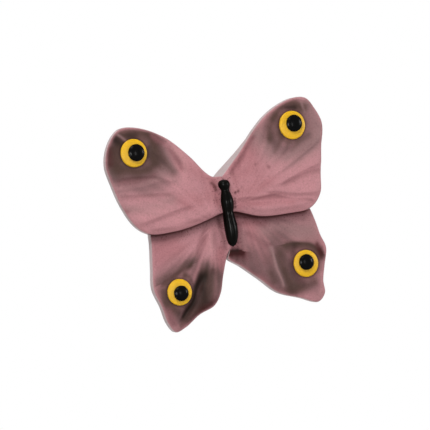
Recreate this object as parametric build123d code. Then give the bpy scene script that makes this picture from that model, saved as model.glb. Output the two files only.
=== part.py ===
"""Butterfly drawer knob: four fluted cast wings and a glossy body on a turned stem.

Frame: +X to the right, +Z up, and the front faces -Y. The knob is held by a machine screw from
behind, so its mounting face lies on y = 0 with the screw hole at the origin. Heights are measured
from that face towards the hand, along -Y. All sizes are in millimetres.
"""
from build123d import *
import os
from math import cos, radians, sin, sqrt

# Heights above the mounting face, from the drawer front to the hand
HEAD_SEAT = 13.5            # the stem's seat under the forewing bosses
HINDWING_BACK = 16.5        # the stem's raised seat, under the hindwings
FOREWING_BACK = 19.0        # the forewings' backs, seated in the hindwings' rebate
BODY_FLOOR = 19.4           # floor of the groove that the body lies in

# Wings
HINDWING_THICKNESS = 3.4
FOREWING_THICKNESS = 2.9
RIM_CHAMFER = 0.6           # bevel round the front rim
PARTING_X = -0.3            # left and right wings meet on this line, under the body
NOTCH_TOP = (-0.45, -8.3)   # below here the hindwings part along a slanted line
NOTCH_END = (-1.5, -11.2)
REBATE_CLEARANCE = 0.1      # round the forewing's margin, in the hindwing's rebate
SLANT_REACH = 10.0          # the tools that split the wings follow that line this many times as far
FLUTE_REACH = 32.0          # the wings' flutes are cut this far out, past every margin
FAR = 60.0                  # past everything

# Boss behind each forewing's root
BOSS_CENTRE = (-0.3, 7.0)
BOSS_RADIUS = 3.0           # at the stem's seat
BOSS_SPREAD = 12.5          # radius where it runs out, in the plane of the forewing's back
BOSS_LOWEST = 4.6           # its flat lower side, above the hindwings

# Stem
FOOT_RADIUS = 7.5
FOOT_HEIGHT = 1.8
FOOT_SLOPE = 1.2            # height of the cone between the foot and the neck
NECK_RADIUS = 5.7
FLARE_START = 7.6           # height at which the neck flares to the head
HEAD_RADIUS = 8.8
HEAD_RIM = 1.6              # height of the head's straight rim, below its seat
HEAD_CLEARANCE = 0.15       # between the raised seat and the boss

# Threaded insert for an M4 machine screw
INSERT_RADIUS = 3.5
INSERT_LENGTH = 12.0
SCREW_HOLE_RADIUS = 1.65
SCREW_HOLE_DEPTH = 10.0
GROOVE_DEPTH = 0.5
GROOVE_WIDTH = 1.4
GROOVE_HEIGHT = 5.4

# Body: stations from head to tail as (z, half width, height of its widest line)
BODY_STATIONS = (
    (8.02, 0.7, 21.4),
    (7.2, 1.36, 21.6),
    (6.2, 1.36, 21.6),
    (5.4, 1.1, 21.6),
    (4.2, 1.38, 21.6),
    (2.4, 1.5, 21.6),
    (0.2, 1.26, 21.5),
    (-2.4, 1.52, 21.4),
    (-5.2, 1.46, 21.2),
    (-7.1, 1.06, 21.1),
    (-7.95, 0.5, 20.9),
)
BODY_X = -0.32              # the body's centre line
BODY_CLEARANCE = 0.05       # between the body and the sides of its groove

# Eyespots
SEAT_DEPTH = 0.3            # each disc's flat seat is sunk this far into the wing's front
SEAT_MARGIN = 0.1           # flat of the seat round the disc
DISC_THICKNESS = 1.15
DISC_CHAMFER = 0.4
PUPIL_HEIGHT = 0.8
PUPIL_BEVEL = 0.6           # how far a pupil's edge slopes in, from the disc to its top

# Each wing: outline as (x, z) points, its eyespot, and its flutes. The flutes spread from a point
# near the root and start at a distance from it. Each is (direction in degrees, half width and
# depth in millimetres for each millimetre of its length).
WINGS = {
    "forewing_left": dict(
        outline=[
            (-0.3, 8.75), (-2.5, 9.15), (-4.0, 10.4), (-7.3, 14.75), (-12.8, 20.2), (-19.0, 23.2),
            (-23.2, 23.4), (-26.2, 20.4), (-27.75, 15.7), (-26.9, 10.4), (-25.3, 5.0),
            (-22.8, 0.3), (-19.7, -1.95), (-13.4, -2.15), (-7.6, -1.15), (-2.2, 0.1), (2.2, 1.2),
            (2.6, 6.6),
        ],
        eye=(-20.7, 17.4), disc_radius=3.2, pupil_radius=1.9, pupil_shift=(0.42, 0.02),
        fan=(-5.0, 5.7), fan_start=4.0,
        flutes=[(114, 0.1, 0.022), (128, 0.07, 0.018), (156, 0.07, 0.018), (168, 0.09, 0.022),
                (186, 0.12, 0.025), (206, 0.1, 0.02)],
    ),
    "forewing_right": dict(
        outline=[
            (-0.3, 8.7), (1.45, 10.4), (5.1, 13.95), (9.1, 18.3), (12.9, 21.6), (16.8, 23.7),
            (20.6, 24.7), (23.7, 24.2), (25.5, 21.6), (26.9, 17.6), (25.8, 12.0), (24.7, 6.2),
            (23.6, 0.8), (20.6, -2.1), (14.4, -2.55), (7.8, -2.1), (2.0, -0.1), (-2.6, 1.0),
            (-3.0, 6.4),
        ],
        eye=(18.95, 18.2), disc_radius=3.3, pupil_radius=1.9, pupil_shift=(0.31, 0.36),
        fan=(4.0, 4.0), fan_start=4.5,
        flutes=[(-12, 0.09, 0.022), (4, 0.11, 0.025), (19, 0.08, 0.02), (31, 0.07, 0.018),
                (58, 0.07, 0.018), (76, 0.1, 0.022)],
    ),
    "hindwing_left": dict(
        outline=[
            (-19.1, -1.4), (-19.35, -4.6), (-20.0, -9.9), (-20.5, -15.0), (-19.2, -19.4),
            (-18.3, -23.4), (-16.7, -25.75), (-14.0, -25.0), (-10.3, -22.7), (-6.3, -21.2),
            (-4.3, -18.6), (-3.0, -14.6), (-1.4, -10.3), (0.2, -6.8), (1.5, -2.0), (0.4, 2.6),
            (-6.0, 3.0), (-14.0, 1.6), (-18.0, 0.5),
        ],
        eye=(-14.5, -16.5), disc_radius=3.0, pupil_radius=1.7, pupil_shift=(0.13, -0.26),
        fan=(-3.5, -1.5), fan_start=3.5,
        flutes=[(203, 0.1, 0.02), (217, 0.08, 0.02), (247, 0.08, 0.028), (261, 0.09, 0.022)],
    ),
    "hindwing_right": dict(
        outline=[
            (20.9, -1.6), (22.0, -5.0), (22.8, -8.8), (23.8, -12.2), (22.7, -16.4), (21.8, -19.9),
            (21.7, -23.0), (19.7, -24.85), (15.4, -23.2), (9.9, -20.9), (5.8, -17.0),
            (1.6, -13.1), (-1.1, -10.9), (-1.7, -8.4), (-2.2, -2.6), (-1.2, 2.6), (5.4, 3.0),
            (13.0, 1.6), (19.2, 0.2),
        ],
        eye=(17.7, -15.1), disc_radius=3.15, pupil_radius=1.8, pupil_shift=(-0.09, 0.35),
        fan=(5.0, -1.0), fan_start=3.5,
        flutes=[(-14, 0.08, 0.02), (-28, 0.08, 0.022), (-65, 0.06, 0.02), (-78, 0.08, 0.022),
                (-94, 0.08, 0.022)],
    ),
}


def level(height):
    """The plane parallel to the mounting face at this height, seen from the front."""
    return Plane.XZ.offset(height)


def smooth_tangents(points):
    """A direction at each point of a closed outline, leaning to its nearer neighbour."""
    tangents = []
    for index, point in enumerate(points):
        before, after = point - points[index - 1], points[(index + 1) % len(points)] - point
        lean = before * (after.length / before.length) + after * (before.length / after.length)
        tangents.append(lean.normalized())
    return tangents


def arc_pair(start, start_way, end, end_way):
    """Two arcs that join two points, tangent to a direction at each and to one another."""
    chord, ways = end - start, start_way + end_way
    spread = 2.0 * (1.0 - start_way.dot(end_way))
    reach = chord.dot(ways)
    if spread < 1e-9:
        arm = chord.dot(chord) / (2.0 * reach)
    else:
        arm = (sqrt(reach * reach + spread * chord.dot(chord)) - reach) / spread
    first, second = start + start_way * arm, end - end_way * arm
    middle = (first + second) * 0.5
    return [TangentArc(start, middle, tangent=start_way), TangentArc(middle, end, tangent=second - first)]


def outline_face(name, clearance=0.0):
    """A wing's outline as a flat face bounded by arcs, grown by a clearance."""
    points = [Vector(*point) for point in WINGS[name]["outline"]]
    points = points if name.endswith("left") else points[::-1]
    ways = smooth_tangents(points)
    points = [point + Vector(way.Y, -way.X) * clearance for point, way in zip(points, ways)]
    arcs = []
    for index in range(len(points)):
        follower = (index + 1) % len(points)
        arcs += arc_pair(points[index], ways[index], points[follower], ways[follower])
    return make_face([edge for arc in arcs for edge in arc.edges()])


def flute(wing, top, direction, half_width, depth):
    """A long pyramid that lies in the wing's front and cuts one flute, wider and deeper outward."""
    way = Vector(cos(radians(direction)), 0, sin(radians(direction)))
    apex = Vector(wing["fan"][0], -top, wing["fan"][1]) + way * wing["fan_start"]
    end = Plane(origin=apex + way * FLUTE_REACH, x_dir=(0, -1, 0), z_dir=way)
    deep, wide = depth * FLUTE_REACH, half_width * FLUTE_REACH
    kite = end * make_face(Polyline((-deep, 0), (0, wide), (deep, 0), (0, -wide), close=True))
    return loft([kite.face(), Vertex(*apex)], ruled=True)


def wing_blade(name, back, thickness):
    """A wing's blade: bevelled blank, fluted front and the eyespot's flat seat."""
    wing = WINGS[name]
    top = back + thickness
    blank = extrude(level(back) * outline_face(name), thickness)
    blade = chamfer(blank.edges().group_by(Axis.Y)[0], RIM_CHAMFER)
    for direction, half_width, depth in wing["flutes"]:
        blade -= flute(wing, top, direction, half_width, depth)
    seat = Circle(wing["disc_radius"] + SEAT_MARGIN)
    return blade - extrude(level(top - SEAT_DEPTH) * Pos(*wing["eye"]) * seat, thickness)


def side_region(left):
    """Everything to the left or right of the line on which the wings meet."""
    far = -FAR if left else FAR
    top = Vector(*NOTCH_TOP)
    low = top + (Vector(*NOTCH_END) - top) * SLANT_REACH
    profile = Polyline((far, FAR), (PARTING_X, FAR), (PARTING_X, top.Y), top, low, (far, low.Y),
                       close=True)
    return extrude(level(0) * make_face(profile), FAR)


def body_groove():
    """What the body's groove takes out of the wings."""
    grown = [(z, half + BODY_CLEARANCE) for z, half, _ in BODY_STATIONS]
    grown[0] = (grown[0][0] + BODY_CLEARANCE, grown[0][1])
    grown[-1] = (grown[-1][0] - BODY_CLEARANCE, grown[-1][1])
    right = [(BODY_X + half, z) for z, half in grown]
    left = [(BODY_X - half, z) for z, half in reversed(grown)]
    return extrude(level(BODY_FLOOR) * make_face(Polyline(*right, *left, close=True)), FAR)


def forewing(name):
    """A forewing: fluted blade, with the boss behind its root that seats on the stem."""
    blade = wing_blade(name, FOREWING_BACK, FOREWING_THICKNESS)
    depth = FOREWING_BACK - HEAD_SEAT
    column = extrude(level(HEAD_SEAT) * outline_face(name), depth)
    flare = level(HEAD_SEAT) * Pos(*BOSS_CENTRE, depth / 2) * Cone(BOSS_RADIUS, BOSS_SPREAD, depth)
    above = level(HEAD_SEAT) * Pos(0, BOSS_LOWEST + FAR / 2, depth / 2) * Box(FAR, FAR, depth)
    boss = column & flare & above
    return ((blade + boss) & side_region(name.endswith("left"))) - body_groove()


def hindwing(name):
    """A hindwing: fluted blade, with a flat rebate where the forewing overlaps it."""
    blade = wing_blade(name, HINDWING_BACK, HINDWING_THICKNESS) & side_region(name.endswith("left"))
    rebate = level(FOREWING_BACK) * outline_face(name.replace("hind", "fore"), REBATE_CLEARANCE)
    return blade - extrude(rebate, HINDWING_THICKNESS) - body_groove()


def body():
    """The glossy body: a flat-bottomed bar with a round back, swelling from head to tail."""
    sections = []
    for z, half, widest in BODY_STATIONS:
        plane = Plane(origin=(BODY_X, 0, z), x_dir=(1, 0, 0), z_dir=(0, 0, 1))
        low, high = -BODY_FLOOR, -widest
        arc = ThreePointArc((half, high), (0, high - half), (-half, high))
        sides = Polyline((-half, high), (-half, low), (half, low), (half, high))
        sections.append(plane * make_face(arc + sides))
    return loft(sections, ruled=True)


def stem():
    """The turned stem: foot, neck and head, with a raised seat and the insert's blind bore."""
    foot = [(0, 0), (FOOT_RADIUS, 0), (FOOT_RADIUS, -FOOT_HEIGHT)]
    neck = [(NECK_RADIUS, -FOOT_HEIGHT - FOOT_SLOPE), (NECK_RADIUS, -FLARE_START)]
    head = [(HEAD_RADIUS, HEAD_RIM - HEAD_SEAT), (HEAD_RADIUS, -HEAD_SEAT), (0, -HEAD_SEAT)]
    turned = revolve(make_face(Polyline(*foot, *neck, *head, close=True)), Axis.Y)
    raised = extrude(level(HEAD_SEAT) * Circle(HEAD_RADIUS), HINDWING_BACK - HEAD_SEAT)
    room = level(HEAD_SEAT) * Pos(0, BOSS_LOWEST - HEAD_CLEARANCE + FAR / 2) * Box(FAR, FAR, FAR)
    bore = extrude(level(0) * Circle(INSERT_RADIUS), INSERT_LENGTH)
    return turned + (raised - room) - bore


def threaded_insert():
    """The brass insert: a blind screw hole, and a groove that the cast resin grips."""
    sleeve = extrude(level(0) * Circle(INSERT_RADIUS), INSERT_LENGTH)
    waste = Circle(INSERT_RADIUS + GROOVE_DEPTH) - Circle(INSERT_RADIUS - GROOVE_DEPTH)
    sleeve -= extrude(level(GROOVE_HEIGHT) * waste, GROOVE_WIDTH)
    return sleeve - extrude(level(0) * Circle(SCREW_HOLE_RADIUS), SCREW_HOLE_DEPTH)


def disc(wing):
    """A yellow disc with a bevelled edge."""
    edge = extrude(Circle(wing["disc_radius"]), DISC_THICKNESS)
    return chamfer(edge.edges().group_by(Axis.Z)[-1], DISC_CHAMFER)


def pupil(wing):
    """A black button with a sloping edge, which lies on the disc, off its centre."""
    radius = wing["pupil_radius"]
    place = Pos(*wing["pupil_shift"], DISC_THICKNESS + PUPIL_HEIGHT / 2)
    return place * Cone(radius, radius - PUPIL_BEVEL, PUPIL_HEIGHT)


def eye_place(name):
    """Where a wing's eyespot stands: on its seat, facing forward."""
    back, thickness = FOREWING_BACK, FOREWING_THICKNESS
    if name.startswith("hind"):
        back, thickness = HINDWING_BACK, HINDWING_THICKNESS
    return level(back + thickness - SEAT_DEPTH) * Pos(*WINGS[name]["eye"])


def main():
    """Build every sub-part and write one STEP file for each."""
    os.makedirs("parts", exist_ok=True)
    nodes = {"stem": stem(), "threaded_insert": threaded_insert(), "body": body()}
    for name, wing in WINGS.items():
        nodes[name] = forewing(name) if name.startswith("fore") else hindwing(name)
        nodes["eyespot_" + name] = eye_place(name) * disc(wing)
        nodes["pupil_" + name] = eye_place(name) * pupil(wing)
    for name, part in nodes.items():
        export_step(part, f"parts/{name}.step")
        print(name, round(part.volume, 2))


main()
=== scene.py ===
"""Looks of the butterfly drawer knob: pleated, airbrushed wings, domed eyespots and a glossy body.

Plan sizes below are in millimetres, as (x, z) seen from the front. Heights are measured from the
mounting face towards the hand, along -Y. Everything becomes metres where a mesh is made.
"""
import math

import bpy
import numpy as np
from mathutils import Matrix, Vector


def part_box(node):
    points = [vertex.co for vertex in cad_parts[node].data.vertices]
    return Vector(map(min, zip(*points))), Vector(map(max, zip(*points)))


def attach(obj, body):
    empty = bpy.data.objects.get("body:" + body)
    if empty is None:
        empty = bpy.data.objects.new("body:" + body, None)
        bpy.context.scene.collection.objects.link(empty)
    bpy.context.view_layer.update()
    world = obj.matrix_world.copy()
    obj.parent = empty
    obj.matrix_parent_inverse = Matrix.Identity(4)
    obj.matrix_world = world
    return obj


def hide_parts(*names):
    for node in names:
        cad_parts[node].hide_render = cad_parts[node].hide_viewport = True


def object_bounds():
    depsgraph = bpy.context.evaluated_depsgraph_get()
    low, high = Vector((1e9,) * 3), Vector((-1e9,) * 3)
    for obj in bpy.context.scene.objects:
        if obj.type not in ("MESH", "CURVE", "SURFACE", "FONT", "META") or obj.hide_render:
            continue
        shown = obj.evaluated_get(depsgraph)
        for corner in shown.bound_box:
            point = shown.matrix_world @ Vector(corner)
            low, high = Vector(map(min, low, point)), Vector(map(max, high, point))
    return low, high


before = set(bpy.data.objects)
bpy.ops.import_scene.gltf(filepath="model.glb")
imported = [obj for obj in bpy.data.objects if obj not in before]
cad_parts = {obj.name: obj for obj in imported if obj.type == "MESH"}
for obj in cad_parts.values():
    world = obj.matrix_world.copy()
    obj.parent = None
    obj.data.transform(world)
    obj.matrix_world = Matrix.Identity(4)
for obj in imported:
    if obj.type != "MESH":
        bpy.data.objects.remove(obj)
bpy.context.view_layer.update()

MM = 0.001


def heights(node):
    """Height of a CAD node's back and of its front above the mounting face."""
    low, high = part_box(node)
    return -high.y / MM, -low.y / MM


# ---------------------------------------------------------------- sizes taken from the frame
HEAD_SEAT, FOREWING_FRONT = heights("forewing_left")
HINDWING_BACK, HINDWING_FRONT = heights("hindwing_left")
FOREWING_BACK = 19.0

# ---------------------------------------------------------------- sizes of the modelled surface
OUTLINE_SAMPLES = 420
LINE_STEPS = 8              # points for each span of a fold or a stroke
BATCH = 4000                # points whose distances are worked out at once
FRONT_RINGS = 84
RIM_RINGS = 9
WALL_RINGS = 7
BACK_RINGS = 30
RIM_RADIUS = 0.7            # rounding of the front rim
BACK_RADIUS = 0.35          # rounding of the back rim
SEAM_RADIUS = 0.05          # the share that is left of both where the left and right wings meet
SEAM_REACH = 2.2            # past this distance from the seam they are whole
RIM_FALL = 0.35             # the front falls this much towards its rim
RIM_FALL_WIDTH = 2.6
PLEAT_DEPTH = 1.4           # scales every fold
PLEATS_AT_RIM = 0.3         # how much of a fold is left at the rim
FRONT_DIP = 0.3             # the pleats rise from this far below the CAD's flat front
PARTING_X = -0.3            # the left and right wings meet on this line
NOTCH_TOP = (-0.45, -8.3)   # below here the hindwings part along a slanted line
NOTCH_END = (-1.5, -11.2)
BOSS_CENTRE = (-0.3, 7.0)
BOSS_RADIUS = 3.0
BOSS_SPREAD = 12.5
BOSS_LOWEST = 4.6

# ---------------------------------------------------------------- how uneven the spraying is
ROOT = (3.5, 2.0)           # strokes fan out from here on the right, and from its opposite on the left
FAN_RATE = 16.0             # waves over a radian of the fan
ALONG_RATE = 0.11           # waves along a stroke, in each millimetre
STREAK_DEPTH = 0.7
DRIFT = 0.35                # how far a stroke wanders
DRIFT_RATE = 0.35
WAVE_COUNT = 6
SPECK_REACH = 1.8           # dark specks gather this close to the crevices
HALO_WIDTH = 1.4            # the smoke round an eyespot
EYE_FOOT_WASH_AND_SHADE = 0.35            # the dark line where an eyespot meets the wing: partly dark wash, partly painted shade at its foot
CREVICE_WASH_AND_SHADE = 1.5          # the red-brown band along the forewings' lower edge: dark wash and painted shade in the crevice
CREVICE_LINE = 0.55         # and the dark line at its foot, painted shade with dark wash
GOLDEN_ANGLE = 2.39996

# ---------------------------------------------------------------- paint colours, in sRGB steps
PALETTE = {
    "mauve": (200, 142, 147),
    "pink": (204, 148, 151),
    "rose": (174, 113, 118),
    "grey": (158, 122, 122),
    "dusk": (124, 91, 92),
    "smoke": (80, 58, 51),
    "soot": (26, 12, 4),
    "maroon": (66, 20, 20),
    # red-brown of the wash in the valleys and crevices, partly painted shade there
    "wash_and_shade": (138, 88, 92),
    # pale greyish pink of the wings' side walls
    "pale_wall": (205, 186, 186),
    "back": (176, 126, 131),
}

# ---------------------------------------------------------------- the four wings
# outline: points of a smooth closed curve, (x, z).
# folds: (points from the root out, height, width on the leading side, width on the other side).
# paint: (colour, points, width or widths on the leading and the other side, strength), sprayed one
# over the other. Many strokes follow the pleats, darker along the valleys, below the ridges and at
# the roots and lighter on the ridges: partly the airbrush wash, partly painted shade and painted
# highlight.
WINGS = {
    "forewing_left": dict(
        outline=[
            (-0.3, 8.75), (-2.5, 9.15), (-4.0, 10.4), (-7.3, 14.75), (-12.8, 20.2), (-19.0, 23.2),
            (-23.2, 23.4), (-26.2, 20.4), (-27.75, 15.7), (-26.9, 10.4), (-25.3, 5.0),
            (-22.8, 0.3), (-19.7, -1.95), (-14.0, -2.3), (-9.6, -1.85), (-6.0, -1.05), (-2.2, 0.0),
            (2.2, 1.2), (2.6, 6.6),
        ],
        centre=(-13.0, 5.5),
        eye=(-20.7, 17.4), disc=3.3, pupil=2.0, shift=(0.42, 0.02),
        folds=[
            ([(-8.6, 9.6), (-10.4, 13.6), (-12.6, 18.6), (-14.0, 21.0)], -0.45, 0.8, 1.2),
            ([(-10.4, 9.4), (-13.0, 13.6), (-16.0, 17.6)], 0.35, 1.2, 0.8),
            ([(-11.0, 8.4), (-16.6, 11.6), (-26.6, 12.4)], 0.36, 1.6, 0.7),
            ([(-10.4, 6.9), (-17.6, 7.6), (-26.4, 8.4)], 0.4, 1.8, 0.8),
            ([(-6.0, 3.4), (-11.0, 3.3), (-17.0, 2.1), (-23.0, 0.9)], 0.45, 2.0, 0.8),
        ],
        paint=[
            ("grey", [(-25.0, 5.2), (-20.0, 4.9), (-13.0, 4.9)], 1.5, 0.5),
            ("rose", [(-3.0, 9.0), (-2.6, 3.0)], 1.3, 0.9),
            ("rose", [(-9.6, 12.6), (-5.0, 9.6)], 1.6, 0.5),
            ("rose", [(-10.0, 4.6), (-5.0, 4.8), (-2.0, 5.0)], 2.2, 0.5),
            ("grey", [(-25.6, 12.0), (-19.0, 11.6), (-14.0, 12.6), (-14.5, 18.0)], 3.4, 0.9),
            ("dusk", [(-26.0, 12.8), (-20.0, 12.4), (-15.4, 13.6), (-14.8, 19.4)], 2.6, 0.8),
            ("dusk", [(-26.0, 9.2), (-20.0, 9.0), (-13.6, 9.6)], (1.6, 0.5), 0.6),
            ("wash_and_shade", [(-25.6, 11.0), (-20.6, 10.8), (-17.0, 11.4)], 0.9, 0.5),
            ("smoke", [(-24.8, 14.0), (-20.4, 12.8), (-15.6, 14.2)], 1.5, 0.9),
            ("smoke", [(-25.6, 19.0), (-25.4, 14.6)], 1.9, 0.95),
            ("smoke", [(-23.4, 22.2), (-18.8, 21.9), (-15.6, 19.8), (-15.8, 15.6)], 2.1, 0.95),
            ("smoke", [(-14.6, 16.0), (-12.2, 11.6)], 0.9, 0.5),
            ("wash_and_shade", [(-15.4, 20.6), (-12.8, 18.4), (-10.8, 15.2), (-9.8, 12.2)], 0.75, 0.7),
            ("soot", [(-24.6, 21.0), (-24.2, 19.8)], 1.6, 0.9),
            ("maroon", [(-26.4, 19.2), (-26.6, 15.6)], 0.8, 0.7),
            ("grey", [(-23.6, 22.4), (-22.2, 20.6)], 0.35, 0.6),
            ("pink", [(-9.0, 11.0), (-9.6, 15.0), (-12.0, 18.0)], 0.9, 0.5),
            ("wash_and_shade", [(-24.6, 4.9), (-24.3, 4.3)], 0.45, 0.6),
            ("maroon", [(-3.2, 7.6), (-2.4, 6.0)], 0.45, 0.7),
            ("wash_and_shade", [(-3.1, 4.5), (-2.9, 3.5)], 0.4, 0.5),
            ("wash_and_shade", [(-19.0, -1.2), (-12.0, -1.3), (-5.0, -0.2)], 0.7, 0.35),
            ("soot", [(-21.4, 21.9), (-20.4, 21.6)], 1.0, 0.5),
            ("smoke", [(-24.4, 19.0), (-24.6, 16.6)], 0.9, 0.7),
            ("soot", [(-16.9, 18.4), (-17.1, 16.2)], 0.7, 0.5),
        ],
    ),
    "forewing_right": dict(
        outline=[
            (-0.3, 8.7), (1.45, 10.4), (5.1, 13.95), (9.1, 18.3), (12.9, 21.6), (16.8, 23.7),
            (20.6, 24.7), (23.7, 24.2), (25.5, 21.6), (26.9, 17.6), (25.8, 12.0), (24.7, 6.2),
            (23.6, 0.8), (20.6, -2.1), (14.4, -2.55), (7.8, -2.1), (2.0, -0.1), (-2.6, 1.0),
            (-3.0, 6.4),
        ],
        centre=(13.0, 7.5),
        eye=(18.95, 18.2), disc=3.4, pupil=2.02, shift=(0.31, 0.36),
        folds=[
            ([(2.2, 8.8), (5.0, 12.2), (9.0, 17.0)], -0.4, 0.8, 1.2),
            ([(10.0, 7.4), (15.0, 12.0), (18.0, 14.6)], 0.26, 1.2, 0.8),
            ([(11.0, 6.4), (17.0, 9.4), (25.6, 14.2)], 0.36, 1.6, 0.7),
            ([(9.6, 4.6), (14.0, 5.4), (20.0, 7.4), (25.2, 8.6)], 0.45, 2.0, 0.7),
            ([(8.6, 4.0), (12.0, 3.6), (16.4, 2.4), (23.0, 1.6)], 0.42, 1.8, 0.7),
            ([(2.4, 1.2), (9.4, -0.4), (18.6, -0.8)], 0.3, 1.4, 1.0),
        ],
        paint=[
            ("rose", [(3.0, 10.4), (7.0, 15.0), (9.6, 18.4)], 1.6, 0.9),
            ("rose", [(3.0, 8.0), (7.6, 10.0), (8.4, 13.0)], 2.2, 0.6),
            ("dusk", [(24.6, 22.0), (24.8, 17.4)], 1.6, 0.75),
            ("rose", [(3.4, 1.4), (12.0, 1.2), (16.0, 0.4)], 1.2, 0.7),
            ("rose", [(2.0, 4.0), (6.0, 4.6), (10.0, 6.0)], 2.2, 0.5),
            ("grey", [(9.6, 17.6), (12.6, 13.4), (18.0, 11.4), (24.0, 13.4)], 2.8, 0.8),
            ("grey", [(24.4, 22.4), (24.8, 17.6), (22.0, 14.4)], 2.4, 0.75),
            ("dusk", [(13.0, 18.6), (13.6, 14.6), (17.6, 12.8), (22.0, 14.2)], 1.7, 0.75),
            ("smoke", [(14.6, 21.4), (13.4, 18.2), (12.6, 15.8)], 1.5, 0.85),
            ("smoke", [(14.2, 20.8), (16.4, 22.6), (20.0, 23.2), (22.6, 22.0)], 1.5, 0.9),
            ("soot", [(17.0, 22.4), (20.6, 22.2)], 0.7, 0.5),
            ("dusk", [(23.4, 20.4), (23.6, 17.0)], 1.1, 0.6),
            ("smoke", [(15.4, 16.4), (17.0, 14.6), (20.0, 14.0), (22.6, 15.4)], 1.0, 0.6),
            ("smoke", [(15.6, 15.4), (13.7, 12.2)], 0.6, 0.35),
            ("smoke", [(17.4, 14.4), (15.8, 11.6)], 0.6, 0.35),
            ("smoke", [(20.0, 14.2), (17.6, 12.0)], 0.6, 0.35),
            ("grey", [(24.6, 14.4), (19.4, 11.8), (16.0, 10.2)], (0.5, 1.2), 0.6),
            ("grey", [(22.4, 23.4), (23.0, 21.0)], 0.35, 0.5),
            ("wash_and_shade", [(2.2, 9.0), (5.0, 12.4), (8.6, 16.6)], 0.6, 0.65),
            ("wash_and_shade", [(3.2, 2.7), (8.0, 2.7), (12.2, 2.2), (16.4, 1.2), (21.0, 0.0)], (0.3, 0.8), 0.6),
            ("wash_and_shade", [(14.0, 5.2), (18.0, 6.0), (24.0, 6.8)], (0.3, 0.9), 0.5),
            ("wash_and_shade", [(8.7, 10.4), (8.6, 10.2)], 0.3, 0.6),
            ("wash_and_shade", [(11.2, 9.3), (11.5, 9.1)], 0.35, 0.6),
            ("maroon", [(2.2, 4.6), (3.2, 4.8)], 0.35, 0.6),
            ("maroon", [(2.0, 3.0), (2.1, 1.2)], 0.4, 0.6),
            ("soot", [(20.4, 22.2), (18.0, 22.4)], 0.5, 0.4),
            ("smoke", [(15.2, 18.8), (15.4, 17.0)], 0.6, 0.4),
            ("dusk", [(23.0, 19.4), (22.8, 16.6)], 0.6, 0.5),
        ],
    ),
    "hindwing_left": dict(
        outline=[
            (-19.1, -1.4), (-19.35, -4.6), (-20.0, -9.9), (-20.5, -15.0), (-19.2, -19.4),
            (-18.3, -23.4), (-16.7, -25.75), (-14.0, -25.0), (-10.3, -22.7), (-6.3, -21.2),
            (-4.3, -18.6), (-3.0, -14.6), (-1.4, -10.3), (0.2, -6.8), (1.5, -2.0), (0.4, 2.6),
            (-6.0, 3.0), (-14.0, 1.6), (-18.0, 0.5),
        ],
        centre=(-11.0, -11.0),
        eye=(-14.5, -16.5), disc=3.12, pupil=1.82, shift=(0.13, -0.26),
        folds=[
            ([(-4.4, -2.0), (-5.2, -6.0), (-5.6, -12.0)], 0.5, 1.1, 1.2),
            ([(-6.0, -3.4), (-7.6, -6.4), (-8.8, -10.4)], -0.35, 0.8, 0.8),
            ([(-7.6, -12.6), (-9.6, -16.6), (-12.4, -20.6), (-14.6, -23.6)], -0.7, 1.2, 0.8),
            ([(-3.8, -9.0), (-5.2, -15.4), (-6.8, -20.0)], 0.3, 1.0, 1.2),
            ([(-9.4, -9.6), (-13.0, -10.8), (-18.4, -13.4)], 0.25, 2.0, 0.8),
        ],
        paint=[
            ("rose", [(-14.0, -5.6), (-18.6, -6.6)], 3.0, 0.8),
            ("rose", [(-3.0, -9.0), (-4.4, -14.0)], 1.6, 0.9),
            ("dusk", [(-4.0, -15.0), (-5.6, -20.2)], 1.8, 0.85),
            ("dusk", [(-12.4, -21.4), (-17.0, -24.0)], 2.2, 0.75),
            ("pink", [(-4.4, -4.0), (-5.4, -8.6)], 0.9, 0.4),
            ("wash_and_shade", [(-6.0, -3.4), (-7.4, -6.6), (-8.4, -9.6)], 0.9, 0.55),
            ("dusk", [(-9.6, -10.2), (-6.6, -11.8), (-4.0, -14.6)], (2.4, 1.4), 0.7),
            ("dusk", [(-18.6, -13.4), (-14.4, -11.6), (-10.4, -10.2)], (0.7, 2.4), 0.85),
            ("smoke", [(-17.6, -13.8), (-14.4, -12.2), (-10.6, -10.8)], (0.8, 1.8), 0.8),
            ("smoke", [(-18.6, -15.4), (-17.8, -18.6), (-15.4, -21.4)], 1.9, 0.85),
            ("smoke", [(-7.6, -13.6), (-7.6, -17.4), (-9.6, -20.6)], 2.9, 0.95),
            ("maroon", [(-5.8, -20.2), (-9.6, -21.4), (-13.6, -23.6)], 1.2, 0.75),
            ("soot", [(-8.6, -13.8), (-10.2, -16.6), (-11.2, -19.0), (-14.2, -22.6)], 1.7, 0.98),
            ("dusk", [(-10.2, -11.8), (-10.9, -14.0)], 0.4, 0.4),
            ("dusk", [(-14.0, -20.7), (-15.8, -23.2)], 0.45, 0.7),
            ("wash_and_shade", [(-17.8, -20.6), (-16.8, -24.6), (-14.4, -24.6)], 0.9, 0.55),
            ("pink", [(-17.0, -25.2), (-16.2, -25.0)], 0.7, 0.5),
            # the next three strokes, below the forewing's lower edge and beside the body: partly dark
            # wash, partly painted shade in the crevices
            ("wash_and_shade", [(-18.8, -3.0), (-15.0, -3.2), (-11.6, -2.9)], 0.9, 0.6),
            ("maroon", [(-2.4, -0.6), (-2.2, -3.0)], 0.8, 0.7),
            ("wash_and_shade", [(-2.0, -3.0), (-1.9, -8.0)], 0.7, 0.7),
            ("smoke", [(-3.6, -15.0), (-3.4, -18.2)], 0.9, 0.4),
            ("soot", [(-11.0, -14.2), (-10.6, -16.0)], 0.6, 0.6),
            ("smoke", [(-12.4, -12.7), (-11.4, -13.2)], 0.7, 0.7),
            ("soot", [(-8.4, -17.0), (-8.6, -19.6)], 1.1, 0.6),
            ("smoke", [(-11.6, -21.8), (-15.4, -24.6)], 0.9, 0.6),
        ],
    ),
    "hindwing_right": dict(
        outline=[
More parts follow.
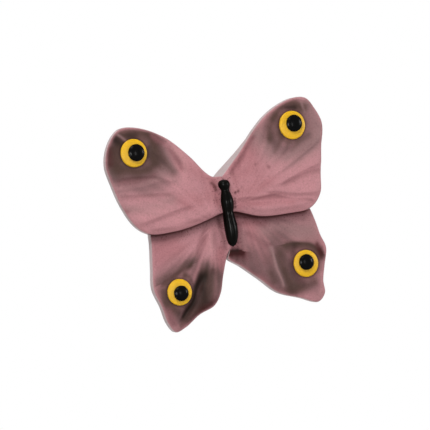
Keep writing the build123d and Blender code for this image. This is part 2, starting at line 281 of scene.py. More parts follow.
            (20.9, -1.6), (22.0, -5.0), (22.8, -8.8), (23.8, -12.2), (22.7, -16.4), (21.8, -19.9),
            (21.7, -23.0), (19.7, -24.85), (15.4, -23.2), (9.9, -20.9), (5.8, -17.0),
            (1.6, -13.1), (-1.1, -10.9), (-1.7, -8.4), (-2.2, -2.6), (-1.2, 2.6), (5.4, 3.0),
            (13.0, 1.6), (19.2, 0.2),
        ],
        centre=(12.5, -10.0),
        eye=(17.7, -15.1), disc=3.26, pupil=1.9, shift=(-0.09, 0.35),
        folds=[
            ([(2.4, -3.4), (5.6, -5.4), (8.6, -8.2)], 0.5, 1.4, 1.2),
            ([(8.6, -7.6), (9.7, -13.4), (10.9, -20.0)], 0.4, 1.0, 0.8),
            ([(4.6, -8.2), (5.8, -13.5), (7.6, -17.8)], 0.25, 1.0, 1.0),
            ([(11.8, -9.4), (12.8, -15.5), (13.2, -20.4)], 0.14, 0.9, 0.8),
            ([(8.6, -3.8), (12.6, -6.6), (16.0, -9.4)], 0.25, 1.4, 0.9),
        ],
        paint=[
            ("rose", [(6.0, -5.0), (14.0, -9.0), (20.6, -9.0)], 4.0, 0.8),
            ("rose", [(1.0, -9.6), (6.0, -13.0), (13.0, -19.0)], 3.0, 0.9),
            ("smoke", [(8.2, -15.6), (10.6, -19.4), (13.4, -21.0)], 1.8, 0.7),
            ("dusk", [(18.0, -20.6), (20.0, -23.2)], 1.8, 0.7),
            # dark patch below the body's tail: partly dark paint, partly painted shadow under the tail
            ("maroon", [(0.2, -10.0), (2.0, -12.0)], 1.6, 0.6),
            ("grey", [(9.4, -5.0), (14.0, -6.6), (20.0, -7.4)], 3.2, 0.8),
            ("dusk", [(12.4, -4.0), (18.6, -4.7)], 1.0, 0.55),
            ("grey", [(3.4, -9.4), (3.0, -6.0)], 1.4, 0.4),
            ("dusk", [(5.4, -11.4), (7.2, -14.4), (9.6, -18.8)], 2.8, 0.85),
            ("dusk", [(11.6, -8.6), (11.6, -13.6), (13.4, -18.6)], 3.0, 0.85),
            ("smoke", [(10.8, -12.0), (11.6, -15.6), (13.0, -19.8)], 1.8, 0.7),
            ("smoke", [(13.0, -20.8), (16.6, -20.6), (19.2, -20.0)], 1.7, 0.8),
            ("smoke", [(13.4, -9.6), (16.6, -9.8), (19.6, -10.8), (22.6, -13.2)], (0.5, 1.9), 0.95),
            ("soot", [(14.8, -10.8), (14.2, -13.4), (14.4, -17.2), (16.4, -19.4)], 1.1, 0.5),
            ("maroon", [(22.2, -12.4), (22.2, -14.2)], 0.8, 0.7),
            ("grey", [(9.4, -9.6), (9.9, -14.6), (10.8, -19.6)], 0.4, 0.85),
            ("wash_and_shade", [(8.4, -19.4), (3.6, -14.2)], 0.8, 0.5),
            ("dusk", [(-0.6, -10.4), (3.0, -12.6), (5.6, -15.0)], 1.2, 0.8),
            # the dark patch below the body's tail, crisp at its top and fading downwards: partly dark
            # paint, partly painted shadow
            ("maroon", [(-1.2, -9.2), (0.6, -9.3), (2.2, -9.7)], (0.4, 1.5), 1.2),
            # the next four strokes, below the forewing's lower edge and beside the body: partly dark
            # wash, partly painted shade in the crevices
            ("maroon", [(2.0, -0.8), (5.0, -1.7), (8.0, -2.4)], 1.0, 0.9),
            ("maroon", [(9.0, -2.8), (14.0, -3.2), (19.0, -3.0)], 0.6, 0.5),
            ("wash_and_shade", [(2.4, -3.0), (6.0, -3.2), (9.0, -3.8)], 1.0, 0.7),
            ("wash_and_shade", [(1.9, -3.0), (1.9, -7.4)], 0.7, 0.5),
            ("pink", [(19.8, -23.6), (20.6, -22.8)], 1.1, 0.5),
            ("smoke", [(8.6, -15.8), (9.0, -18.0)], 0.8, 0.6),
            ("smoke", [(11.8, -15.6), (12.2, -18.8)], 0.8, 0.6),
            # the darkest part of the patch just below the tail: partly dark paint, partly painted
            # shadow
            ("soot", [(-0.6, -8.9), (1.4, -9.2)], 0.5, 0.6),
            ("maroon", [(21.4, -11.2), (22.6, -13.4)], 0.7, 0.7),
        ],
    ),
}


# ---------------------------------------------------------------- small maths
def tone(red, green, blue):
    """A colour written in 0-255 steps of sRGB, as the linear values that shaders take."""
    result = []
    for step in (red, green, blue):
        share = step / 255
        result.append(share / 12.92 if share <= 0.04045 else ((share + 0.055) / 1.055) ** 2.4)
    return tuple(result)


def ramp(value, low, high):
    """0 below low, 1 above high, smooth between."""
    share = np.clip((value - low) / (high - low), 0.0, 1.0)
    return share * share * (3.0 - 2.0 * share)


def smooth_line(points, per_span, closed=False):
    """A centripetal Catmull-Rom curve through the points."""
    points = np.array(points, float)
    if closed:
        padded = np.vstack([points[-1:], points, points[:2]])
    else:
        ends = 2 * points[[0, -1]] - points[[1, -2]]
        padded = np.vstack([ends[:1], points, ends[1:]])
    result = []
    for i in range(len(padded) - 3):
        p = padded[i:i + 4]
        gaps = np.sqrt(np.linalg.norm(np.diff(p, axis=0), axis=1))
        k = np.concatenate([[0.0], np.cumsum(gaps)])
        t = np.linspace(k[1], k[2], per_span, endpoint=False)[:, None]
        a = [((k[j + 1] - t) * p[j] + (t - k[j]) * p[j + 1]) / (k[j + 1] - k[j]) for j in range(3)]
        b = [((k[j + 2] - t) * a[j] + (t - k[j]) * a[j + 1]) / (k[j + 2] - k[j]) for j in range(2)]
        result.append(((k[2] - t) * b[0] + (t - k[1]) * b[1]) / (k[2] - k[1]))
    if not closed:
        result.append(points[-1:])
    return np.vstack(result)


def even_loop(loop, count):
    """The same closed loop with its points evenly spaced."""
    closed = np.vstack([loop, loop[:1]])
    run = np.concatenate([[0.0], np.cumsum(np.linalg.norm(np.diff(closed, axis=0), axis=1))])
    goal = np.linspace(0.0, run[-1], count, endpoint=False)
    return np.stack([np.interp(goal, run, closed[:, 0]), np.interp(goal, run, closed[:, 1])], 1)


def line_distance(places, line):
    """Each place's distance to a line of points, its share along the line, and its side, 1 or -1."""
    best = np.full(len(places), np.inf)
    along = np.zeros(len(places))
    side = np.ones(len(places))
    spans = len(line) - 1
    for i in range(spans):
        way = line[i + 1] - line[i]
        off = places - line[i]
        share = np.clip(off @ way / max(way @ way, 1e-12), 0.0, 1.0)
        gap = np.linalg.norm(off - share[:, None] * way, axis=1)
        nearer = gap < best
        best[nearer] = gap[nearer]
        along[nearer] = (i + share[nearer]) / spans
        side[nearer] = np.sign(way[0] * off[nearer, 1] - way[1] * off[nearer, 0])
    return best, along, side


def waves(a, b):
    """Smooth unevenness between about -1 and 1, the same on every run."""
    total = np.zeros(len(a))
    for i in range(WAVE_COUNT):
        turn = i * GOLDEN_ANGLE
        pitch = 1.0 + 0.55 * i
        way = a * math.cos(turn) + b * math.sin(turn)
        total += np.sin(pitch * way + 2.0 * i * i) / (1.0 + 0.35 * i)
    return total / 2.0


def parting(z):
    """x of the line on which the left and right wings meet."""
    slope = (NOTCH_END[0] - NOTCH_TOP[0]) / (NOTCH_END[1] - NOTCH_TOP[1])
    return np.where(z > NOTCH_TOP[1], PARTING_X, NOTCH_TOP[0] + slope * (z - NOTCH_TOP[1]))


# ---------------------------------------------------------------- meshes
def new_piece(name, points, faces, node, material):
    """A mesh object from points in (x, height, z) millimetres, riding on the knob."""
    mesh = bpy.data.meshes.new(name)
    metres = np.stack([points[:, 0], -points[:, 1], points[:, 2]], 1) * MM
    mesh.from_pydata(metres.tolist(), [], faces)
    mesh.validate()
    for polygon in mesh.polygons:
        polygon.use_smooth = True
    piece = bpy.data.objects.new(name, mesh)
    bpy.context.scene.collection.objects.link(piece)
    mesh.materials.append(material)
    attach(piece, "root")
    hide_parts(node)
    return piece


def ring_faces(rings, count):
    """Quads between rings of count points, closed by a fan at each end's single point."""
    faces = []
    following = [(i + 1) % count for i in range(count)]
    first, last = 0, 1 + rings * count
    for i in range(count):
        faces.append((first, 1 + following[i], 1 + i))
    for ring in range(rings - 1):
        a, b = 1 + ring * count, 1 + (ring + 1) * count
        faces += [(a + i, a + following[i], b + following[i], b + i) for i in range(count)]
    a = 1 + (rings - 1) * count
    for i in range(count):
        faces.append((last, a + i, a + following[i]))
    return faces


class Wing:
    """One wing's outline, front and back surfaces."""

    def __init__(self, name):
        self.name = name
        self.spec = WINGS[name]
        self.fore = name.startswith("fore")
        self.left = name.endswith("left")
        self.lead = -1.0 if self.left else 1.0      # the side of a stroke that faces the wing's top
        self.front = FOREWING_FRONT if self.fore else HINDWING_FRONT
        dense = smooth_line(self.spec["outline"], 60, closed=True)
        line = parting(dense[:, 1])
        dense[:, 0] = np.minimum(dense[:, 0], line) if self.left else np.maximum(dense[:, 0], line)
        self.loop = even_loop(dense, OUTLINE_SAMPLES)
        side = np.roll(self.loop, -1, 0) - np.roll(self.loop, 1, 0)
        side /= np.linalg.norm(side, axis=1)[:, None]
        area = np.sum(self.loop[:, 0] * np.roll(self.loop[:, 1], -1)
                      - np.roll(self.loop[:, 0], -1) * self.loop[:, 1])
        self.inward = np.stack([-side[:, 1], side[:, 0]], 1) * np.sign(area)
        self.anticlockwise = area > 0
        seam = np.abs(self.loop[:, 0] - parting(self.loop[:, 1])) < 0.02
        self.free = self.loop[~seam]
        gap = np.min(np.linalg.norm(self.loop[:, None] - self.loop[seam][None], axis=2), axis=1)
        self.round = SEAM_RADIUS + (1.0 - SEAM_RADIUS) * ramp(gap, 0.1, SEAM_REACH)

    def rim_gap(self, places):
        """Distance of each place from the wing's free rim."""
        gap = np.empty(len(places))
        for start in range(0, len(places), BATCH):
            part = places[start:start + BATCH]
            gap[start:start + BATCH] = np.min(
                np.linalg.norm(part[:, None] - self.free[None], axis=2), axis=1)
        return gap

    def relief(self, places):
        """Height of the pleats above the wing's plain front."""
        total = np.zeros(len(places))
        for points, height, lead_width, trail_width in self.spec["folds"]:
            gap, along, side = line_distance(places, smooth_line(points, LINE_STEPS))
            width = np.where(side == self.lead, lead_width, trail_width)
            total += height * np.exp(-(gap / width) ** 2) * ramp(along, 0.0, 0.35)
        eye_gap = np.linalg.norm(places - np.array(self.spec["eye"]), axis=1) - self.spec["disc"]
        near_rim = PLEATS_AT_RIM + (1.0 - PLEATS_AT_RIM) * ramp(self.rim_gap(places), 0.0, 2.5)
        return PLEAT_DEPTH * total * near_rim * (0.15 + 0.85 * ramp(eye_gap, -0.2, 2.0))

    def front_height(self, places):
        """Height of the wing's front before its rim is rounded."""
        fall = RIM_FALL * (1.0 - ramp(self.rim_gap(places), 0.0, RIM_FALL_WIDTH)) ** 2
        return self.front - FRONT_DIP + self.relief(places) - fall

    def back_height(self, places):
        """Height of the wing's back: flat, with the forewings' shared cone behind their roots."""
        if not self.fore:
            return np.full(len(places), HINDWING_BACK)
        reach = np.linalg.norm(places - np.array(BOSS_CENTRE), axis=1)
        cone = (reach - BOSS_RADIUS) / (BOSS_SPREAD - BOSS_RADIUS)
        height = HEAD_SEAT + (FOREWING_BACK - HEAD_SEAT) * np.clip(cone, 0.0, 1.0)
        above = ramp(places[:, 1], BOSS_LOWEST - 0.3, BOSS_LOWEST + 0.3)
        return FOREWING_BACK - (FOREWING_BACK - height) * above

    def build(self, material):
        """The wing as one closed mesh, in rings from its front's centre round to its back's."""
        centre = np.array(self.spec["centre"])
        inner = self.loop + self.inward * (self.round * RIM_RADIUS)[:, None]
        places, levels, turns = [centre[None]], [self.front_height(centre[None])], [np.zeros(1)]

        def add_ring(ring, level, turn):
            places.append(ring)
            levels.append(level)
            turns.append(np.full(len(ring), turn))

        for share in np.linspace(0.0, 1.0, FRONT_RINGS + 1)[1:]:
            ring = centre + (inner - centre) * share
            add_ring(ring, self.front_height(ring), 0.0)
        for angle in np.linspace(0.0, math.pi / 2, RIM_RINGS + 1)[1:]:
            ring = inner - self.inward * (self.round * RIM_RADIUS * math.sin(angle))[:, None]
            fall = self.round * RIM_RADIUS * (1 - math.cos(angle))
            add_ring(ring, self.front_height(ring) - fall, angle / math.pi)
        back_edge = self.back_height(self.loop) + self.round * BACK_RADIUS
        for share in np.linspace(0.0, 1.0, WALL_RINGS + 1)[1:]:
            wall = levels[FRONT_RINGS + RIM_RINGS] * (1 - share) + back_edge * share
            add_ring(self.loop, wall, 0.5)
        inset = self.loop + self.inward * (self.round * BACK_RADIUS)[:, None]
        for angle in np.linspace(0.0, math.pi / 2, 5)[1:]:
            reach = self.round * BACK_RADIUS
            ring = self.loop + self.inward * (reach * (1 - math.cos(angle)))[:, None]
            add_ring(ring, self.back_height(ring) + reach * (1 - math.sin(angle)), 1.0)
        for share in np.linspace(1.0, 0.0, BACK_RINGS + 1)[1:-1]:
            ring = centre + (inset - centre) * share
            add_ring(ring, self.back_height(ring), 1.0)
        add_ring(centre[None], self.back_height(centre[None]), 1.0)
        rings = len(places) - 2
        faces = ring_faces(rings, OUTLINE_SAMPLES)
        if not self.anticlockwise:
            faces = [tuple(reversed(face)) for face in faces]
        plan, level = np.vstack(places), np.concatenate(levels)
        points = np.stack([plan[:, 0], level, plan[:, 1]], 1)
        piece = new_piece("painted_" + self.name, points, faces, self.name, material)
        self.paint(piece, plan, np.concatenate(turns))
        return piece

    def paint(self, piece, plan, turn):
        """The sprayed and brushed paint, with painted shade and painted highlight among it, laid one
        over the other as a colour for each point.

        turn is 0 on the front, 0.5 on the wall and 1 on the back.
        """
        colour = np.tile(tone(*PALETTE["mauve"]), (len(plan), 1))

        def lay(name, cover):
            cover = np.clip(cover, 0.0, 1.0)[:, None]
            colour[:] = colour * (1.0 - cover) + np.array(tone(*PALETTE[name])) * cover

        rim = self.rim_gap(plan)
        wall = ramp(turn, 0.24, 0.38)
        inside = ramp(rim, -0.2, 0.9) * (1.0 - wall)
        fan = plan - np.array(ROOT) * self.lead
        round_fan = np.arctan2(fan[:, 1], fan[:, 0]) * FAN_RATE
        streak = waves(round_fan, np.linalg.norm(fan, axis=1) * ALONG_RATE)
        a, b = plan.T * DRIFT_RATE
        drift = np.stack([waves(a, b), waves(b, -a)], 1) * DRIFT
        eye_gap = np.linalg.norm(plan - np.array(self.spec["eye"]), axis=1) - self.spec["disc"]
        lay("smoke", 0.6 * np.exp(-(np.maximum(eye_gap, 0.0) / HALO_WIDTH) ** 2) * inside)
        for name, points, widths, strength in self.spec["paint"]:
            lead_width, trail_width = widths if isinstance(widths, tuple) else (widths, widths)
            gap, _, side = line_distance(plan + drift, smooth_line(points, LINE_STEPS))
            width = np.where(side == self.lead, lead_width, trail_width)
            cover = strength * np.exp(-(gap / width) ** 2)
            lay(name, cover * (1.0 + STREAK_DEPTH * streak * (1.0 - cover)) * inside)
        # a dark line round each eyespot's foot: partly dark wash, partly painted shade
        lay("soot", 0.5 * np.exp(-(np.maximum(eye_gap, 0.0) / EYE_FOOT_WASH_AND_SHADE) ** 2))
        # Along the forewing's lower edge the hindwing gets a red-brown band and a dark line at its
        # foot: partly dark wash, partly painted shade in the crevice between the wings.
        if not self.fore:
            gap = Wing(self.name.replace("hind", "fore")).rim_gap(plan)
            lay("wash_and_shade", 0.6 * np.exp(-(gap / CREVICE_WASH_AND_SHADE) ** 2))
            lay("maroon", np.exp(-(gap / CREVICE_LINE) ** 2))
        lay("back", ramp(turn, 0.5, 1.0))
        # The walls are laid in a pale greyish pink; where a forewing's lower wall hangs over its
        # hindwing it is laid dark maroon instead, painted shade.
        lap_shade = self.fore * ramp(-plan[:, 1], -1.5, -0.5) * ramp(-np.abs(plan[:, 0]), -20.5, -19.5)
        wall *= turn < 0.9
        lay("pale_wall", wall * (1.0 - lap_shade))
        lay("maroon", wall * lap_shade)
        crevice = np.abs(plan[:, 0] - PARTING_X) - (1.5 if self.fore else 1.2)
        if not self.fore:
            crevice = np.minimum(gap, crevice)
        speck = 0.25 + 0.75 * np.exp(-(np.maximum(crevice, 0.0) / SPECK_REACH) ** 2)
        specks = piece.data.attributes.new("speck", "FLOAT", "POINT")
        specks.data.foreach_set("value", (speck * inside).astype(np.float32))
        layer = piece.data.color_attributes.new("paint", "FLOAT_COLOR", "POINT")
        layer.data.foreach_set("color", np.hstack([colour, np.ones((len(plan), 1))]).ravel())


# ---------------------------------------------------------------- lathe work
def lathe(name, node, material, profile, centre, base, count=128, aspect=1.0):
    """A turned piece on an axis along -Y: profile is (radius, height) from its axis to its axis."""
    angles = np.linspace(0.0, 2 * math.pi, count, endpoint=False)
    points = [(centre[0], base + profile[0][1], centre[1])]
    for radius, height in profile[1:-1]:
        for angle in angles:
            points.append((centre[0] + radius * aspect * math.cos(angle), base + height,
                           centre[1] + radius * math.sin(angle)))
    points.append((centre[0], base + profile[-1][1], centre[1]))
    faces = ring_faces(len(profile) - 2, count)
    return new_piece(name, np.array(points), faces, node, material)


def dome_profile(radius, rim, dome, rounding, rings=18):
    """From the top's centre over a dome, round a soft edge and down to a flat bottom."""
    inner = radius - rounding
    profile = [(0.0, rim + dome)]
    for share in np.linspace(0.0, 1.0, rings)[1:]:
        profile.append((inner * share, rim + dome * math.sqrt(max(0.0, 1 - (share * 0.9) ** 2))))
    edge = profile[-1][1]
    for angle in np.linspace(0.0, math.pi / 2, 7)[1:]:
        profile.append((inner + rounding * math.sin(angle), edge - rounding * (1 - math.cos(angle))))
    profile += [(radius, 0.0), (radius * 0.5, 0.0), (0.0, 0.0)]
    return profile


# ---------------------------------------------------------------- the body
BODY_SHAPE = [                  # (z, left, right) of the body's sides, from tail to head
    (-8.0, -0.34, -0.2), (-7.4, -1.12, 0.62), (-6.0, -1.5, 1.2), (-3.6, -1.62, 1.5),
    (-1.4, -1.55, 1.28), (0.2, -1.44, 1.12), (1.6, -1.6, 1.4), (2.9, -1.68, 1.5),
    (4.4, -1.4, 1.2), (5.5, -1.18, 0.92), (6.4, -1.6, 1.2), (7.1, -1.66, 1.22),
    (7.7, -1.3, 0.86), (8.05, -0.4, -0.1),
]
BODY_AXIS = 21.35
BODY_DEPTH = 1.12               # how deep the body is for its width
BODY_END = 0.05                 # its ends' points lie this far past the last sections


def build_body(material):
    """The slim body: swelling head, thorax and abdomen, half sunk between the wings."""
    line = smooth_line(BODY_SHAPE, 12)
    count = 72
    angles = np.linspace(0.0, 2 * math.pi, count, endpoint=False)
    points = [(line[0, 1:].mean(), BODY_AXIS, line[0, 0] - BODY_END)]
    for z, left, right in line:
        half = (right - left) / 2
        lift = half * BODY_DEPTH
        for angle in angles:
            points.append(((left + right) / 2 + half * math.cos(angle),
                           BODY_AXIS + lift * math.sin(angle), z))
    points.append((line[-1, 1:].mean(), BODY_AXIS, line[-1, 0] + BODY_END))
    faces = ring_faces(len(line), count)
    return new_piece("lacquered_body", np.array(points), faces, "body", material)


# ---------------------------------------------------------------- materials
class Nodes:
    """A material's node tree, built in short steps."""

    def __init__(self, name):
        self.material = bpy.data.materials.new(name)
        self.material.use_nodes = True
        self.tree = self.material.node_tree
        self.shader = self.tree.nodes["Principled BSDF"]

    def node(self, kind, **settings):
        node = self.tree.nodes.new(kind)
        for key, value in settings.items():
            if key in node.inputs:
                node.inputs[key].default_value = value
            else:
                setattr(node, key, value)
        return node

    def link(self, out, into):
        self.tree.links.new(out, into)
        return into

    def value(self, name):
        """A float that the mesh carries for each of its points."""
        return self.node("ShaderNodeAttribute", attribute_name=name).outputs["Fac"]

    def noise(self, scale, detail=4.0, roughness=0.6):
        """Noise in object space. scale is how many cells fit in a metre."""
        place = self.node("ShaderNodeTexCoord").outputs["Object"]
        noise = self.node("ShaderNodeTexNoise")
        noise.inputs["Scale"].default_value = scale
        noise.inputs["Detail"].default_value = detail
        noise.inputs["Roughness"].default_value = roughness
        self.link(place, noise.inputs["Vector"])
        return noise.outputs["Fac"]

    def math(self, operation, *values):
        node = self.node("ShaderNodeMath", operation=operation)
        for socket, value in zip(node.inputs, values):
            if isinstance(value, (int, float)):
                socket.default_value = value
            else:
                self.link(value, socket)
        return node.outputs[0]

    def mix(self, share, a, b, blend="MIX"):
        node = self.node("ShaderNodeMix", data_type="RGBA", blend_type=blend)
        for socket, value in zip((node.inputs[0], node.inputs[6], node.inputs[7]), (share, a, b)):
            if isinstance(value, tuple):
                socket.default_value = (*value, 1.0)
            elif isinstance(value, (int, float)):
                socket.default_value = value
            else:
                self.link(value, socket)
        return node.outputs[2]

    def bump(self, height, strength, distance):
        node = self.node("ShaderNodeBump")
        node.inputs["Strength"].default_value = strength
        node.inputs["Distance"].default_value = distance
        self.link(height, node.inputs["Height"])
        self.link(node.outputs["Normal"], self.shader.inputs["Normal"])


def wing_paint():
    """Matte cast resin: the colours that were laid on each point, with a grain of fine spray."""
    n = Nodes("wing_paint")
    base = n.node("ShaderNodeAttribute", attribute_name="paint").outputs["Color"]
    cloud = n.math("MULTIPLY_ADD", n.noise(260.0), 0.3, 0.85)
    grain = n.math("MULTIPLY_ADD", n.noise(2600.0, 3.0), 0.44, 0.78)
    both = n.node("ShaderNodeVectorMath", operation="SCALE")
    n.link(base, both.inputs[0])
    n.link(n.math("MULTIPLY", cloud, grain), both.inputs["Scale"])
    spots = n.node("ShaderNodeMapRange", interpolation_type="SMOOTHSTEP")
    spots.inputs["From Min"].default_value = 0.56
    spots.inputs["From Max"].default_value = 0.68
    n.link(n.noise(2100.0, 2.0), spots.inputs["Value"])
    dark = n.math("MULTIPLY", spots.outputs["Result"], n.value("speck"))
    n.link(n.mix(n.math("MULTIPLY", dark, 0.55), both.outputs[0], tone(*PALETTE["maroon"])),
           n.shader.inputs["Base Color"])
    n.shader.inputs["Roughness"].default_value = 0.55
    n.shader.inputs["Specular IOR Level"].default_value = 0.1
    n.bump(n.noise(1500.0, 5.0), 0.15, 0.0001)
    return n.material


def gloss(name, colour, roughness, specular):
    """A plain lacquer with faint unevenness."""
    n = Nodes(name)
    dim, bright = tuple(c * 0.85 for c in colour), tuple(min(1.0, c * 1.1) for c in colour)
    base = n.mix(n.noise(500.0), dim, bright)
    n.link(base, n.shader.inputs["Base Color"])
    n.shader.inputs["Roughness"].default_value = roughness
    n.shader.inputs["Specular IOR Level"].default_value = specular
    n.bump(n.noise(700.0, 3.0), 0.08, 0.0001)
    return n.material


def turned_resin():
    """The stem's plain resin: the back's colour, with faint turning rings along its axis."""
    n = Nodes("turned_resin")
    base = n.mix(n.noise(400.0), tone(168, 120, 126), tone(184, 136, 142))
    n.link(n.mix(n.math("MULTIPLY", n.noise(2600.0, 2.0), 0.3), base, tone(150, 104, 108)),
           n.shader.inputs["Base Color"])
    n.shader.inputs["Roughness"].default_value = 0.5
    n.shader.inputs["Specular IOR Level"].default_value = 0.25
    rings = n.node("ShaderNodeTexWave", wave_type="BANDS", bands_direction="Y")
    rings.inputs["Scale"].default_value = 900.0
    rings.inputs["Distortion"].default_value = 0.6
    n.link(n.node("ShaderNodeTexCoord").outputs["Object"], rings.inputs["Vector"])
    n.bump(rings.outputs["Fac"], 0.12, 0.00005)
    return n.material


def brass():
    """Turned brass with fine tool marks."""
    n = Nodes("insert_brass")
    base = n.mix(n.noise(900.0), tone(196, 160, 92), tone(216, 184, 116))
    n.link(base, n.shader.inputs["Base Color"])
    n.shader.inputs["Metallic"].default_value = 1.0
    n.shader.inputs["Roughness"].default_value = 0.32
    n.bump(n.noise(3000.0, 2.0), 0.1, 0.00005)
    return n.material


# ---------------------------------------------------------------- pieces
DISC_DOME = (0.75, 0.4, 0.35)       # rim height, dome height and rounding of a yellow disc
PUPIL_DOME = (0.15, 0.75, 0.15)     # the same of a pupil
DISC_ASPECT = 0.955                 # both are a little narrower than they are high
PUPIL_ASPECT = 0.97
EYE_SINK = 0.5                      # discs and pupils start this far inside what carries them

wing_material = wing_paint()
yellow = gloss("eyespot_yellow", tone(248, 190, 8), 0.4, 0.3)
black = gloss("pupil_gloss", tone(6, 6, 6), 0.2, 0.05)
lacquer = gloss("body_gloss", tone(5, 4, 2), 0.25, 0.05)

for wing_name, spec in WINGS.items():
    Wing(wing_name).build(wing_material)
    disc_base, disc_front = heights("eyespot_" + wing_name)
    disc_shape = dome_profile(spec["disc"], *DISC_DOME)
    lathe("enamel_" + wing_name, "eyespot_" + wing_name, yellow,
          disc_shape, spec["eye"], disc_base - EYE_SINK, aspect=DISC_ASPECT)
    pupil_at = (spec["eye"][0] + spec["shift"][0], spec["eye"][1] + spec["shift"][1])
    pupil_shape = dome_profile(spec["pupil"], *PUPIL_DOME)
    lathe("bead_" + wing_name, "pupil_" + wing_name, black,
          pupil_shape, pupil_at, disc_front - EYE_SINK, aspect=PUPIL_ASPECT)
build_body(lacquer)

for node_name, node_material in (("stem", turned_resin()), ("threaded_insert", brass())):
    cad_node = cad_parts[node_name]
    cad_node.data.materials.clear()
    cad_node.data.materials.append(node_material)

# ---------------------------------------------------------------- floor, light and camera
VIEW_AZIMUTH = math.radians(-17.0)
VIEW_ELEVATION = math.radians(2.0)
VIEW_ROLL = math.radians(9.0)
VIEW_DISTANCE = 0.42
VIEW_WIDTH = 0.1016
VIEW_TARGET = Vector((-3.083, -20.056, 0.032)) * MM


def add_camera():
    """The camera before the knob and a little to its left, rolled so that the head leans left."""
    back = Vector((math.sin(VIEW_AZIMUTH) * math.cos(VIEW_ELEVATION),
                   -math.cos(VIEW_AZIMUTH) * math.cos(VIEW_ELEVATION), math.sin(VIEW_ELEVATION)))
    level_right = Vector((math.cos(VIEW_AZIMUTH), math.sin(VIEW_AZIMUTH), 0.0))
    level_up = back.cross(level_right)
    right = level_right * math.cos(VIEW_ROLL) - level_up * math.sin(VIEW_ROLL)
    up = level_right * math.sin(VIEW_ROLL) + level_up * math.cos(VIEW_ROLL)
    data = bpy.data.cameras.new("camera")
    data.sensor_width = 36.0
    data.lens = data.sensor_width * VIEW_DISTANCE / VIEW_WIDTH
    data.clip_start = 0.01
    camera = bpy.data.objects.new("camera", data)
    bpy.context.scene.collection.objects.link(camera)
    turn = Matrix((right, up, back)).transposed().to_4x4()
    camera.matrix_world = Matrix.Translation(VIEW_TARGET + back * VIEW_DISTANCE) @ turn
    bpy.context.scene.camera = camera


GLINT_HEIGHT = 4.0          # a glint is a strip this many times as high as it is wide


def add_lamp(name, place, size, power, glint=False):
    """A square area lamp that faces the knob. A glint is only seen in reflections."""
    data = bpy.data.lights.new(name, "AREA")
    data.shape = "RECTANGLE"
    data.size = size
    data.size_y = size * (GLINT_HEIGHT if glint else 1.0)
    data.energy = power
    lamp = bpy.data.objects.new(name, data)
    bpy.context.scene.collection.objects.link(lamp)
    lamp.location = place
    lamp.visible_diffuse = not glint
    aim = VIEW_TARGET - Vector(place)
    lamp.rotation_euler = aim.to_track_quat("-Z", "Y").to_euler()


FLOOR_DROP = 0.100          # the floor lies this far below the knob
FLOOR_HALF = 3.0
PLAIN_RADIUS = 0.07         # inside it the floor keeps the knob's shadow, past it it turns white
WHITE_RADIUS = 0.15


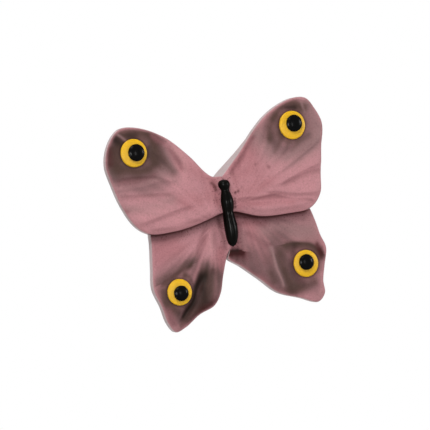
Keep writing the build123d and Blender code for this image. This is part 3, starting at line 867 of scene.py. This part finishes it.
def add_floor():
    """A pale floor well below the knob."""
    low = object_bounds()[0].z - FLOOR_DROP
    mesh = bpy.data.meshes.new("floor")
    corners = [(-FLOOR_HALF, -FLOOR_HALF, low), (FLOOR_HALF, -FLOOR_HALF, low),
               (FLOOR_HALF, FLOOR_HALF, low), (-FLOOR_HALF, FLOOR_HALF, low)]
    mesh.from_pydata(corners, [], [(0, 1, 2, 3)])
    floor = bpy.data.objects.new("floor", mesh)
    bpy.context.scene.collection.objects.link(floor)
    n = Nodes("floor")
    n.shader.inputs["Base Color"].default_value = (0.9, 0.9, 0.9, 1.0)
    n.shader.inputs["Roughness"].default_value = 0.9
    n.shader.inputs["Specular IOR Level"].default_value = 0.1
    place = n.node("ShaderNodeTexCoord").outputs["Object"]
    flat = n.node("ShaderNodeVectorMath", operation="MULTIPLY")
    flat.inputs[1].default_value = (1.0, 1.0, 0.0)
    n.link(place, flat.inputs[0])
    reach = n.node("ShaderNodeVectorMath", operation="LENGTH")
    n.link(flat.outputs[0], reach.inputs[0])
    spread = n.node("ShaderNodeMapRange", interpolation_type="SMOOTHSTEP")
    spread.inputs["From Min"].default_value = PLAIN_RADIUS
    spread.inputs["From Max"].default_value = WHITE_RADIUS
    n.link(reach.outputs["Value"], spread.inputs["Value"])
    path = n.node("ShaderNodeLightPath")
    bounced = n.math("MAXIMUM", path.outputs["Is Glossy Ray"], path.outputs["Is Transmission Ray"])
    seen = n.math("MAXIMUM", path.outputs["Is Camera Ray"], bounced)
    white = n.node("ShaderNodeEmission")
    white.inputs["Color"].default_value = (1.0, 1.0, 1.0, 1.0)
    mix = n.node("ShaderNodeMixShader")
    n.link(n.math("MULTIPLY", seen, spread.outputs["Result"]), mix.inputs[0])
    n.link(n.shader.outputs[0], mix.inputs[1])
    n.link(white.outputs[0], mix.inputs[2])
    n.link(mix.outputs[0], n.tree.nodes["Material Output"].inputs["Surface"])
    mesh.materials.append(n.material)


AMBIENT = 0.34              # what the white world gives as light


def add_world():
    """White to the eye and in reflections, softer as a light."""
    world = bpy.data.worlds.new("studio")
    bpy.context.scene.world = world
    world.use_nodes = True
    tree = world.node_tree
    background = tree.nodes["Background"]
    path = tree.nodes.new("ShaderNodeLightPath")
    glossy = tree.nodes.new("ShaderNodeMath")
    glossy.operation = "MAXIMUM"
    tree.links.new(path.outputs["Is Glossy Ray"], glossy.inputs[0])
    tree.links.new(path.outputs["Is Transmission Ray"], glossy.inputs[1])
    seen = tree.nodes.new("ShaderNodeMath")
    seen.operation = "MAXIMUM"
    tree.links.new(path.outputs["Is Camera Ray"], seen.inputs[0])
    tree.links.new(glossy.outputs[0], seen.inputs[1])
    level = tree.nodes.new("ShaderNodeMapRange")
    level.inputs["To Min"].default_value = AMBIENT
    level.inputs["To Max"].default_value = 1.0
    tree.links.new(seen.outputs[0], level.inputs["Value"])
    background.inputs["Color"].default_value = (1.0, 1.0, 1.0, 1.0)
    tree.links.new(level.outputs["Result"], background.inputs["Strength"])


add_world()
add_floor()
add_camera()
add_lamp("key", (-0.22, -0.38, 0.52), 0.25, 2.6)
add_lamp("fill", (0.48, -0.32, 0.06), 0.15, 0.5)
add_lamp("glint_left", (-0.26, -0.43, 0.0), 0.03, 1.4, glint=True)
add_lamp("glint_front", (0.03, -0.5, -0.01), 0.03, 0.3, glint=True)
add_lamp("glint_right", (0.44, -0.285, 0.0), 0.03, 0.9, glint=True)
bpy.context.scene.view_settings.view_transform = "Standard"
